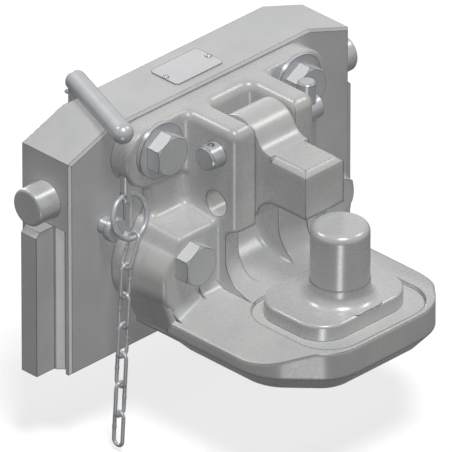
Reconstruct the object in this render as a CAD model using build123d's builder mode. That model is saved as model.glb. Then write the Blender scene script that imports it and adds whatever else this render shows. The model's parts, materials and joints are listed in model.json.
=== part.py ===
# Pintle hook: a slide-in hitch plate with a bolted casting, a fixed upright pin and a hold-down keeper.
# Millimetres. +X is to the right seen from behind the tractor, +Y points to the tractor, +Z is up.
# The origin lies midway between the side rails, at the foot of the slide plate.
import os
from math import asin, atan2, cos, pi, radians, sin, tan

from build123d import *

os.makedirs("parts", exist_ok=True)

# Slide plate
rail_width = 330.6
rail_out = 18.3
plate_width = rail_width - 2 * rail_out
plate_thick = 50.0
plate_side_height = 180.0
plate_top = 195.0
plate_flat_half = 105.0
plate_edge_chamfer = 2.0
rail_thick = 16.0
rail_height = 122.0
rail_chamfer = 4.0
groove_depth = 5.0
groove_half_mouth = 5.2
groove_front = 5.0

# Locking gear
lock_z = 142.0
lock_bolt_dia = 30.0
lock_bolt_out = 20.0
lock_bolt_inner_x = 95.0
lock_bolt_edge = 2.5
gear_module = 2.5
gear_teeth = 16
gear_pressure = 20.0
gear_width = 14.0
gear_offset = 1.0
gear_backlash = 0.4
tooth_sunk = 0.5
gear_tip = 2.0
gear_root = 3.125
rack_reach = 15.0
rack_foot = 8.0
rack_foot_reach = 12.0
rack_first_tooth = -1
rack_last_tooth = 3
pocket_half = 98.0
pocket_depth = 17.0
pocket_round = 4.0
rack_back = 8.5
cover_ledge = 14.0
cover_round = 6.0
cover_screw_dia = 6.0
cover_screw_head = 12.0
cover_screw_length = 18.0
cover_screw_key = 4.0
cover_screw_key_depth = 2.6
screw_sunk = 0.2
shaft_dia = 20.0
shaft_proud = 2.0
shaft_inset = 0.5
bush_wall = 3.0
front_bush_length = 10.0
lever_thick = 8.0
lever_gap = 1.0
lever_hub_dia = 40.0
lever_limb = 12.0
lever_root = 18.0
lever_bend_z = 166.0
square_side = 14.0
lever_thread_dia = 12.0
lever_nut_flats = 19.0
lever_nut_height = 10.0
lever_washer_dia = 28.0
lever_washer_thick = 2.5

# Handle rod above the plate
handle_dia = 16.6
handle_front_inset = 33.0
handle_front_x = handle_front_inset - plate_width / 2
handle_front_depth = 22.5
handle_back_depth = 61.0
handle_skew = 21.0
handle_lift = 0.6
handle_edge = 3.0

# Nameplate
nameplate_length = 50.0
nameplate_width = 30.0
nameplate_thick = 1.0
nameplate_round = 4.0
rivet_inset = 2.5
rivet_pitch = nameplate_length - 2 * rivet_inset
rivet_head_dia = 6.0
rivet_head_height = 1.2
rivet_shank_dia = 3.0
rivet_grip = 6.0

# Casting
bar_depth = 17.3
upper_lug_x = 79.7
upper_lug_z = 167.5
upper_lug_radius = 25.0
bolt_x = 72.5
upper_bolt_z = 171.5
lower_bolt_z = 89.7
waist_half = 91.5
waist_depth = 8.0
waist_foot = 50.0
lower_lug_z = 72.0
lower_lug_radius = 27.0
lower_lug_depth = 51.0
lower_lug_top = 112.0
lower_lug_crown_z = 79.0
lower_lug_draft = 6.0
block_half = 82.5
block_round = 6.0
web_half = 79.0
web_top_depth = 12.5
web_foot_depth = 20.0
web_top_z = 146.0
web_foot_z = 100.0
web_edge = 5.0
ear_thick = 22.0
slot_width = 42.0
slot_back_depth = 20.0
slot_round = 6.0
ear_depth = 68.0
ear_front_round = 9.0
ear_edge = 7.5
cove = 7.5
lug_face_cove = 3.9
slope_gap = 4.0
scoop_radius = 9.0
scoop_half = 88.0
chute_radius = 40.0
throat_radius = 88.0
throat_top = 107.0
lug_edge = 4.0
lug_crown_angle = 55.0
lug_foot = 45.0
base_half = 78.0
throat_floor_round = 25.0
throat_roof_round = 8.0
cast_edge = 2.5
cast_overlap = 4.0

# Nose of the casting
nose_top = 56.0
nose_front_depth = 187.0
nose_half = 92.5
nose_flat_half = 63.0
nose_rim_z = 43.0
nose_wall_foot = 34.0
nose_bottom = 20.0
nose_taper = 41.0
nose_shoulder = 45.0
nose_front_half = 50.0
nose_foot = 20.0
nose_front_round = 38.0
nose_shoulder_round = 50.0
seat_depth = 3.0
seat_half = 60.0
seat_back_depth = 85.0
seat_front_depth = 183.0
seat_round = 30.0

# Piton
piton_depth = 135.7
piton_dia = 45.0
piton_band_dia = 46.0
piton_top = 126.5
piton_crown = 6.0
band_top = 81.3
root_radius = 10.0
flange_top = 66.0
flange_half = 50.0
flange_front_depth = 167.0
flange_back_depth = 91.0
flange_round = 25.0
flange_edge = 2.5
spigot_dia = 30.0
spigot_inset = 1.0
nut_pocket_dia = 60.0
nut_pocket_depth = 20.0
piton_nut_flats = 46.0
piton_nut_height = 15.0
piton_washer_dia = 56.0
piton_washer_thick = 4.0

# M20 hexagon bolts
bolt_dia = 20.0
bolt_flats = 30.0
bolt_head = 12.5
bolt_grip = 22.0
bolt_tip_gap = 1.0
bolt_head_cone = 60.0
bolt_turn = 30.0
washer_dia = 45.0
washer_thick = 4.0

# Keeper and its pin
pin_depth = 49.0
pin_z = 168.4
pin_dia = 20.0
pin_out = 12.8
pin_cross_hole = 5.0
pin_cross_inset = 7.0
pin_end_chamfer = 1.5
lock_hole_z = 126.0
lock_hole_dia = 21.0
keeper_width = 40.0
keeper_boss_radius = 22.0
keeper_top = 169.5
keeper_nose_depth = 119.4
keeper_nose_foot = 130.8
keeper_flat_depth = 83.0
keeper_heel_depth = 84.0
keeper_shoulder_angle = 147.0
keeper_tail_angle = 220.0
keeper_underside_radius = 30.0
keeper_nose_edge = 4.5
bar_dia = 14.0
bar_x = 52.0
bar_top_z = 192.0
bar_foot_z = 118.0
bar_pin_stub = 3.0
bar_end_chamfer = 1.0

# Parking stud, ring and chain
stud_x = -111.8
stud_z = 116.2
stud_shank_dia = 14.0
stud_head_dia = 19.2
stud_out = 14.0
stud_head_thick = 5.0
stud_root = 10.0
stud_edge = 1.5
ring_pin_x = -100.0
ring_pin_depth = 11.0
ring_pin_dia = 8.0
ring_pin_foot = 134.3
ring_pin_round = 3.0
ring_pin_rise = 17.0
ring_hole_z = 141.0
ring_radius = 17.0
ring_wire = 4.0
ring_hole_dia = 6.0
ring_tilt = 16.0
link_wire = 3.0
link_pitch = 24.8
link_width = 12.0
link_clear = 0.3
first_link_clear = 0.5
link_count = 7
first_link_lean = 23.0
chain_lean = 3.5

# Fits
bolt_slide = 0.05
thread_fit = 0.05
bush_fit = 0.04
pin_fit = 0.08
rack_clear = 0.3
cover_clear = 0.2
hole_clear = 1.0
washer_play = 0.4

# Derived places
front_y = -plate_thick / 2
back_y = plate_thick / 2
cover_thick = back_y - pocket_depth
pitch_radius = gear_module * gear_teeth / 2
pocket_top_offset = pitch_radius + gear_root + rack_back + rack_clear
gear_y = (pocket_depth + gear_offset) / 2
pin_y = front_y - pin_depth
piton_y = front_y - piton_depth
handle_z = plate_top + handle_lift + handle_dia / 2
bar_top = upper_lug_z + upper_lug_radius
ring_pin_top = upper_lug_z - upper_lug_radius + ring_pin_rise


def front_plane(depth):
    """Plane facing the front, at this depth in front of the plate's face."""
    return Plane.XZ.offset(depth - front_y)


def depth_plane(y):
    """Plane facing the front at this y."""
    return Plane.XZ.offset(-y)


def across(flats):
    """Circumradius of a hexagon from its width across flats."""
    return flats / 2 / cos(radians(30))


# Slide plate with rails, gear pocket and its holes
cover_half_x = pocket_half + cover_ledge
cover_half_z = pocket_top_offset + cover_ledge

with BuildPart() as slide_plate:
    with BuildSketch(depth_plane(back_y)):
        with BuildLine():
            Polyline(
                (-plate_width / 2, 0),
                (plate_width / 2, 0),
                (plate_width / 2, plate_side_height),
                (plate_flat_half, plate_top),
                (-plate_flat_half, plate_top),
                (-plate_width / 2, plate_side_height),
                close=True,
            )
        make_face()
    extrude(amount=plate_thick)
    chamfer(slide_plate.faces().sort_by(Axis.Y)[0].edges(), plate_edge_chamfer)
    with BuildSketch(depth_plane(rail_thick / 2)):
        with Locations((0, rail_height / 2)):
            rail_outline = Rectangle(rail_width, rail_height)
        chamfer(rail_outline.vertices().group_by(Axis.Y)[-1], rail_chamfer)
    extrude(amount=rail_thick)
    with BuildSketch(Plane.XY):
        groove_y = front_y + groove_front + groove_half_mouth
        for side in (-1, 1):
            with BuildLine():
                Polyline(
                    (side * plate_width / 2, groove_y - groove_half_mouth),
                    (side * (plate_width / 2 - groove_depth), groove_y),
                    (side * plate_width / 2, groove_y + groove_half_mouth),
                    close=True,
                )
            make_face()
    extrude(amount=rail_height, mode=Mode.SUBTRACT)
    with BuildSketch(depth_plane(back_y)):
        with Locations((0, lock_z)):
            RectangleRounded(2 * cover_half_x, 2 * cover_half_z, cover_round)
    extrude(amount=cover_thick, mode=Mode.SUBTRACT)
    with BuildSketch(depth_plane(back_y)):
        with Locations((0, lock_z)):
            RectangleRounded(2 * pocket_half, 2 * pocket_top_offset, pocket_round)
    extrude(amount=back_y, mode=Mode.SUBTRACT)
    bore_length = plate_width / 2 - (lock_bolt_inner_x - lock_bolt_out) + 1
    for side in (-1, 1):
        with BuildSketch(Plane.YZ.offset(side * plate_width / 2)):
            with Locations((0, lock_z)):
                Circle(lock_bolt_dia / 2 + bolt_slide)
        extrude(amount=-side * bore_length, mode=Mode.SUBTRACT)
    with BuildSketch(depth_plane(0)):
        with Locations((0, lock_z)):
            Circle(shaft_dia / 2 + bush_wall)
    extrude(amount=front_bush_length, mode=Mode.SUBTRACT)
    with BuildSketch(front_plane(0)):
        with Locations(*[(sx * bolt_x, z) for sx in (-1, 1) for z in (upper_bolt_z, lower_bolt_z)]):
            Circle(bolt_dia / 2 + thread_fit)
    extrude(amount=-bolt_grip, mode=Mode.SUBTRACT)
    with BuildSketch(depth_plane(back_y - cover_thick)):
        cover_screws_at = [
            (sx * (pocket_half + cover_ledge / 2), lock_z + sz * (pocket_top_offset + cover_ledge / 2))
            for sx in (-1, 0, 1)
            for sz in (-1, 1)
        ]
        with Locations(*cover_screws_at):
            Circle(cover_screw_dia / 2 + thread_fit)
    extrude(amount=cover_screw_length - cover_thick, mode=Mode.SUBTRACT)
    with BuildSketch(front_plane(0)):
        with Locations((stud_x, stud_z)):
            Circle(stud_root / 2)
    extrude(amount=-stud_root, mode=Mode.SUBTRACT)
    with BuildSketch(Plane.XY.offset(plate_top)):
        with GridLocations(rivet_pitch, 0, 2, 1):
            Circle(rivet_shank_dia / 2)
    extrude(amount=-rivet_grip, mode=Mode.SUBTRACT)
slide_plate.part.label = "slide_plate"
export_step(slide_plate.part, "parts/slide_plate.step")

# Rear cover over the gear pocket
with BuildPart() as rear_cover:
    with BuildSketch(depth_plane(back_y)):
        with Locations((0, lock_z)):
            RectangleRounded(
                2 * (cover_half_x - cover_clear),
                2 * (cover_half_z - cover_clear),
                cover_round,
            )
            Circle(shaft_dia / 2 + bush_wall, mode=Mode.SUBTRACT)
    extrude(amount=cover_thick)
    with Locations(*[Location((x, back_y, z), (-90, 0, 0)) for x, z in cover_screws_at]):
        CounterSinkHole(cover_screw_dia / 2 + thread_fit, cover_screw_head / 2, cover_thick)
rear_cover.part.label = "rear_cover"
export_step(rear_cover.part, "parts/rear_cover.step")

with BuildPart() as cover_screws:
    head_height = (cover_screw_head - cover_screw_dia) / 2
    for x, z in cover_screws_at:
        with BuildSketch(Plane.XY.offset(z)):
            with BuildLine():
                Polyline(
                    (x, back_y - screw_sunk),
                    (x + cover_screw_head / 2 - 2 * screw_sunk, back_y - screw_sunk),
                    (x + cover_screw_dia / 2, back_y - head_height - screw_sunk),
                    (x + cover_screw_dia / 2, back_y - cover_screw_length + screw_sunk),
                    (x, back_y - cover_screw_length + screw_sunk),
                    close=True,
                )
            make_face()
        revolve(axis=Axis((x, 0, z), (0, 1, 0)))
        with BuildSketch(depth_plane(back_y)):
            with Locations((x, z)):
                RegularPolygon(across(cover_screw_key), 6)
        extrude(amount=cover_screw_key_depth, mode=Mode.SUBTRACT)
cover_screws.part.label = "cover_screws"
export_step(cover_screws.part, "parts/cover_screws.step")


# Bearings of the pinion shaft
def bush(y_front, length):
    """Plain bearing bush on the pinion's axis."""
    with BuildPart() as made:
        with BuildSketch(depth_plane(y_front + length)):
            with Locations((0, lock_z)):
                Circle(shaft_dia / 2 + bush_wall)
                Circle(shaft_dia / 2 + bush_fit, mode=Mode.SUBTRACT)
        extrude(amount=length)
    return made.part


front_bush = bush(-front_bush_length, front_bush_length)
front_bush.label = "front_bush"
export_step(front_bush, "parts/front_bush.step")
rear_bush = bush(back_y - cover_thick, cover_thick)
rear_bush.label = "rear_bush"
export_step(rear_bush, "parts/rear_bush.step")

# Pinion with its shaft, square and threaded end
pressure = radians(gear_pressure)
base_radius = pitch_radius * cos(pressure)
tip_radius = pitch_radius + gear_tip
root_radius_gear = pitch_radius - gear_root
half_tooth = pi / (2 * gear_teeth) - gear_backlash / 4 / pitch_radius
pitch_involute = tan(pressure) - pressure


def flank_angle(radius):
    """Half angle of a tooth at this radius of its involute flank."""
    if radius <= base_radius:
        return half_tooth + pitch_involute
    steep = (radius**2 / base_radius**2 - 1) ** 0.5
    return half_tooth + pitch_involute - (steep - asin(steep * base_radius / radius))


def polar(radius, angle):
    """Point at this radius and angle in radians."""
    return (radius * cos(angle), radius * sin(angle))


shaft_back = back_y + lever_gap
lever_back = shaft_back + lever_thick
shaft_end = lever_back + lever_washer_thick + lever_nut_height + shaft_proud

with BuildSketch() as tooth:
    with BuildLine():
        flank_radii = [base_radius + (tip_radius - base_radius) * part / 3 for part in range(4)]
        low = [polar(radius, -flank_angle(radius)) for radius in flank_radii]
        high = [polar(radius, flank_angle(radius)) for radius in reversed(flank_radii)]
        sunk = root_radius_gear - tooth_sunk
        Polyline(high[-1], polar(sunk, flank_angle(sunk)), polar(sunk, -flank_angle(sunk)), low[0])
        Spline(*low)
        Line(low[-1], high[0])
        Spline(*high)
    make_face()

with BuildPart() as pinion_shaft:
    with BuildSketch(depth_plane(gear_y + gear_width / 2)):
        with Locations((0, lock_z)):
            Circle(root_radius_gear)
            with PolarLocations(0, gear_teeth, start_angle=90 + 180 / gear_teeth):
                add(tooth.sketch)
    extrude(amount=gear_width)
    with BuildSketch(depth_plane(shaft_back)):
        with Locations((0, lock_z)):
            Circle(shaft_dia / 2)
    extrude(amount=shaft_back + front_bush_length - shaft_inset)
    with BuildSketch(depth_plane(lever_back - shaft_inset)):
        with Locations((0, lock_z)):
            Rectangle(square_side, square_side)
    extrude(amount=lever_thick - shaft_inset)
    with BuildSketch(depth_plane(shaft_end)):
        with Locations((0, lock_z)):
            Circle(lever_thread_dia / 2)
    extrude(amount=shaft_end - lever_back + shaft_inset)
pinion_shaft.part.label = "pinion_shaft"
export_step(pinion_shaft.part, "parts/pinion_shaft.step")


# Locking bolts and racks; the left rack runs over the pinion and the right one under it
def rack(side):
    """Toothed bar with the foot that is screwed to its locking bolt; side is -1 left, +1 right."""
    up = -side
    root_line = lock_z + up * (pitch_radius + gear_root)
    back_line = lock_z + up * (pocket_top_offset - rack_clear)
    foot_inner = side * (lock_bolt_inner_x - rack_foot)
    bar_end = -side * rack_reach
    pitch = pi * gear_module
    with BuildPart() as made:
        with BuildSketch(depth_plane(gear_y + gear_width / 2)):
            with BuildLine():
                Polyline(
                    (side * lock_bolt_inner_x, back_line),
                    (side * lock_bolt_inner_x, lock_z - up * rack_foot_reach),
                    (foot_inner, lock_z - up * rack_foot_reach),
                    (foot_inner, root_line),
                    (bar_end, root_line),
                    (bar_end, back_line),
                    close=True,
                )
            make_face()
            half_foot = pitch / 4 - gear_backlash / 4 + gear_root * tan(pressure)
            half_tip = pitch / 4 - gear_backlash / 4 - gear_tip * tan(pressure)
            tip_line = root_line - up * (gear_root + gear_tip)
            for step in range(rack_first_tooth, rack_last_tooth + 1):
                tooth_x = side * step * pitch
                with BuildLine():
                    Polyline(
                        (tooth_x - half_foot, root_line),
                        (tooth_x - half_tip, tip_line),
                        (tooth_x + half_tip, tip_line),
                        (tooth_x + half_foot, root_line),
                        close=True,
                    )
                make_face()
        extrude(amount=gear_width)
    return made.part


def locking_bolt(side):
    """Round bolt that comes out of the plate's side."""
    outer = side * (plate_width / 2 + lock_bolt_out)
    with BuildPart() as made:
        with BuildSketch(Plane.YZ.offset(outer)):
            with Locations((0, lock_z)):
                Circle(lock_bolt_dia / 2)
        extrude(amount=-side * (abs(outer) - lock_bolt_inner_x))
        fillet(made.edges().sort_by(Axis.X)[0 if side < 0 else -1], lock_bolt_edge)
    return made.part


for side, word in ((-1, "left"), (1, "right")):
    bolt_part = locking_bolt(side)
    bolt_part.label = word + "_locking_bolt"
    export_step(bolt_part, "parts/" + word + "_locking_bolt.step")
    rack_part = rack(side)
    rack_part.label = word + "_rack"
    export_step(rack_part, "parts/" + word + "_rack.step")

# Handle rod, its front end round, leaning out to the left over the plate's top
skew = radians(handle_skew)
handle_length = (handle_back_depth + handle_front_depth) / cos(skew)
handle_plane = Plane(
    origin=(handle_front_x, front_y - handle_front_depth, handle_z),
    x_dir=(0, 0, 1),
    z_dir=(sin(skew), cos(skew), 0),
)
with BuildPart() as handle_rod:
    with BuildSketch(handle_plane):
        Circle(handle_dia / 2)
    extrude(amount=handle_length)
    fillet(handle_rod.edges().sort_by(Axis.Y)[-1], handle_edge)
    with Locations(handle_plane.location):
        Sphere(handle_dia / 2)
handle_rod.part.label = "handle_rod"
export_step(handle_rod.part, "parts/handle_rod.step")

# Lever arm behind the cover: a dog-leg from the shaft out and up to the handle rod
lever_mid_y = (shaft_back + lever_back) / 2
lever_x = handle_front_x + (lever_mid_y - front_y + handle_front_depth) * tan(skew)
with BuildPart() as lever_arm:
    with BuildSketch(depth_plane(lever_back)):
        with Locations((0, lock_z)):
            Circle(lever_hub_dia / 2)
        with BuildLine():
            Polyline(
                (0, lock_z - lever_root),
                (lever_x - lever_limb / 2, lever_bend_z - lever_limb / 2),
                (lever_x - lever_limb / 2, handle_z),
                (lever_x + lever_limb / 2, handle_z),
                (lever_x + lever_limb / 2, lever_bend_z + lever_limb),
                (0, lock_z + lever_root),
                close=True,
            )
        make_face()
        with Locations((0, lock_z)):
            Rectangle(square_side + 2 * thread_fit, square_side + 2 * thread_fit, mode=Mode.SUBTRACT)
    extrude(amount=lever_thick)
    add(handle_rod.part, mode=Mode.SUBTRACT)
lever_arm.part.label = "lever_arm"
export_step(lever_arm.part, "parts/lever_arm.step")

with BuildPart() as lever_washer:
    with BuildSketch(depth_plane(lever_back + lever_washer_thick)):
        with Locations((0, lock_z)):
            Circle(lever_washer_dia / 2)
            Circle(lever_thread_dia / 2 + washer_play, mode=Mode.SUBTRACT)
    extrude(amount=lever_washer_thick)
lever_washer.part.label = "lever_washer"
export_step(lever_washer.part, "parts/lever_washer.step")

with BuildPart() as lever_nut:
    with BuildSketch(depth_plane(lever_back + lever_washer_thick + lever_nut_height)):
        with Locations((0, lock_z)):
            RegularPolygon(across(lever_nut_flats), 6)
            Circle(lever_thread_dia / 2 + thread_fit, mode=Mode.SUBTRACT)
    extrude(amount=lever_nut_height)
lever_nut.part.label = "lever_nut"
export_step(lever_nut.part, "parts/lever_nut.step")

# Nameplate and its rivets on the plate's top
with BuildPart() as nameplate:
    with BuildSketch(Plane.XY.offset(plate_top)):
        RectangleRounded(nameplate_length, nameplate_width, nameplate_round)
        with GridLocations(rivet_pitch, 0, 2, 1):
            Circle(rivet_shank_dia / 2, mode=Mode.SUBTRACT)
    extrude(amount=nameplate_thick)
nameplate.part.label = "nameplate"
export_step(nameplate.part, "parts/nameplate.step")

upright = (Align.CENTER, Align.CENTER, Align.MIN)
with BuildPart() as nameplate_rivets:
    with GridLocations(rivet_pitch, 0, 2, 1):
        with Locations((0, 0, plate_top - rivet_grip)):
            Cylinder(rivet_shank_dia / 2, rivet_grip + nameplate_thick, align=upright)
        with Locations((0, 0, plate_top + nameplate_thick)):
            Cone(rivet_head_dia / 2, rivet_head_dia / 4, rivet_head_height, align=upright)
nameplate_rivets.part.label = "nameplate_rivets"
export_step(nameplate_rivets.part, "parts/nameplate_rivets.step")


# Casting
def edges_near(part, places, reach):
    """Edges of a casting whose middle lies near one of these places, on the left or the right."""
    found = []
    for edge in part.edges():
        middle = edge.center()
        for x, y, z in places:
            away = (abs(middle.X) - x, middle.Y - y, middle.Z - z)
            if max(abs(step) for step in away) < reach:
                found.append(edge)
    return found


ear_outer = slot_width / 2 + ear_thick
nose_slope = (nose_top - nose_rim_z) / (nose_half + 1 - nose_flat_half)
throat_reach = ear_depth + throat_floor_round
flange_length = flange_front_depth - flange_back_depth
flange_mid_y = front_y - (flange_front_depth + flange_back_depth) / 2

with BuildPart() as upper_bar:
    with BuildSketch(front_plane(0)):
        with Locations((0, upper_lug_z)):
            SlotCenterToCenter(2 * upper_lug_x, 2 * upper_lug_radius)
    extrude(amount=bar_depth)
    fillet(upper_bar.faces().sort_by(Axis.Y)[0].edges(), cast_edge)

with BuildPart() as waist:
    with BuildSketch(front_plane(0)):
        with Locations((0, (waist_foot + upper_lug_z) / 2)):
            Rectangle(2 * waist_half, upper_lug_z - waist_foot)
    extrude(amount=waist_depth)
    fillet(waist.edges().filter_by(Axis.Z).group_by(Axis.Y)[0], cast_edge)

lug_outer = bolt_x + lower_lug_radius
lug_inner = ear_outer - cast_overlap
with BuildPart() as web:
    with BuildSketch(Plane.YZ.offset(-web_half)):
        with BuildLine():
            Polyline(
                (front_y, web_foot_z),
                (front_y, web_top_z),
                (front_y - web_top_depth, web_top_z),
                (front_y - web_foot_depth, web_foot_z),
                close=True,
            )
        make_face()
    extrude(amount=2 * web_half)
    web_sides = web.faces().filter_by(Axis.X)
    fillet([side.edges().sort_by(Axis.Y)[0] for side in web_sides], web_edge)

with BuildPart() as lower_lugs:
    for side in (-1, 1):
        crown = radians(lug_crown_angle)
        crown_end = (
            bolt_x + lower_lug_radius * cos(crown),
            lower_lug_crown_z + lower_lug_radius * sin(crown),
        )
        with BuildSketch(front_plane(lower_lug_depth)) as lug_face:
            with BuildLine():
                Line((side * lug_inner, lug_foot), (side * bolt_x, lug_foot))
                RadiusArc(
                    (side * bolt_x, lug_foot),
                    (side * lug_outer, lower_lug_z),
                    -side * lower_lug_radius,
                )
                Line((side * lug_outer, lower_lug_z), (side * lug_outer, lower_lug_crown_z))
                RadiusArc(
                    (side * lug_outer, lower_lug_crown_z),
                    (side * crown_end[0], crown_end[1]),
                    -side * lower_lug_radius,
                )
                Polyline(
                    (side * crown_end[0], crown_end[1]),
                    (side * block_half, lower_lug_top),
                    (side * lug_inner, lower_lug_top),
                    (side * lug_inner, lug_foot),
                )
            make_face()
            corner = (side * block_half, lower_lug_top, 0)
            fillet(lug_face.vertices().sort_by_distance(corner)[0], block_round)
        extrude(amount=-(lower_lug_depth - waist_depth), taper=-lower_lug_draft)
        lug_backs = lower_lugs.faces().filter_by(Axis.Y)
        lug_base = lug_backs.sort_by_distance((side * bolt_x, front_y, lower_lug_z))[0]
        extrude(lug_base, amount=waist_depth)

chute_top = (front_y - slot_back_depth, nose_top + chute_radius)
chute_end = (front_y - slot_back_depth - chute_radius, nose_top)
with BuildPart() as slot_cut:
    with BuildSketch(Plane.YZ.offset(-slot_width / 2)):
        with BuildLine():
            RadiusArc(chute_top, chute_end, chute_radius)
            Polyline(
                chute_end,
                (front_y - 2 * ear_depth, nose_top),
                (front_y - 2 * ear_depth, bar_top + 1),
                (front_y - slot_back_depth, bar_top + 1),
                chute_top,
            )
        make_face()
    extrude(amount=slot_width)
    for side_face in slot_cut.faces().filter_by(Axis.X):
        back_edges = side_face.edges().filter_by_position(Axis.Y, front_y - 2 * ear_depth + 1, front_y)
        fillet(back_edges.filter_by_position(Axis.Z, 0, bar_top), slot_round)

with BuildPart() as ears:
    with BuildSketch(Plane.YZ.offset(-ear_outer)) as ear_side:
        with BuildLine():
            Polyline(
                (front_y, nose_foot + cast_overlap),
                (front_y, bar_top),
                (front_y - ear_depth, bar_top),
                (front_y - ear_depth, nose_top + throat_floor_round),
                (front_y - throat_reach, nose_top + throat_floor_round),
                (front_y - throat_reach, nose_top - cast_overlap),
                (front_y - lower_lug_depth, nose_foot + cast_overlap),
                close=True,
            )
        make_face()
        fillet(ear_side.vertices().sort_by_distance((front_y - ear_depth, bar_top, 0))[0], ear_front_round)
    extrude(amount=2 * ear_outer)
    for face in ears.faces().filter_by(Axis.X):
        outline = face.edges().filter_by_position(Axis.Z, throat_top, bar_top + 1)
        fillet(outline.filter_by_position(Axis.Y, front_y - ear_depth - 1, front_y - bar_depth), ear_edge)

with BuildPart() as nose:
    with BuildSketch(Plane.XY.offset(nose_wall_foot)) as nose_plan:
        with BuildLine():
            shoulder_y = front_y - nose_front_depth + nose_shoulder
            Polyline(
                (-nose_half, front_y - lower_lug_depth + cast_overlap),
                (-nose_half, shoulder_y),
                (-nose_front_half, front_y - nose_front_depth),
                (nose_front_half, front_y - nose_front_depth),
                (nose_half, shoulder_y),
                (nose_half, front_y - lower_lug_depth + cast_overlap),
                close=True,
            )
        make_face()
        fillet(nose_plan.vertices().group_by(Axis.Y)[0], nose_front_round)
        for side in (-1, 1):
            shoulder = (side * nose_half, shoulder_y, nose_wall_foot)
            fillet(nose_plan.vertices().sort_by_distance(shoulder)[0], nose_shoulder_round)
    extrude(amount=nose_top - nose_wall_foot)
    extrude(nose_plan.sketch, amount=-(nose_wall_foot - nose_bottom), taper=nose_taper)
    with BuildSketch(front_plane(lower_lug_depth - 2 * cast_overlap)):
        for side in (-1, 1):
            with BuildLine():
                Polyline(
                    (side * nose_flat_half, nose_top),
                    (side * (nose_half + 1), nose_rim_z),
                    (side * (nose_half + 1), nose_top + 1),
                    (side * nose_flat_half, nose_top + 1),
                    close=True,
                )
            make_face()
    extrude(amount=nose_front_depth, mode=Mode.SUBTRACT)

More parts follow.
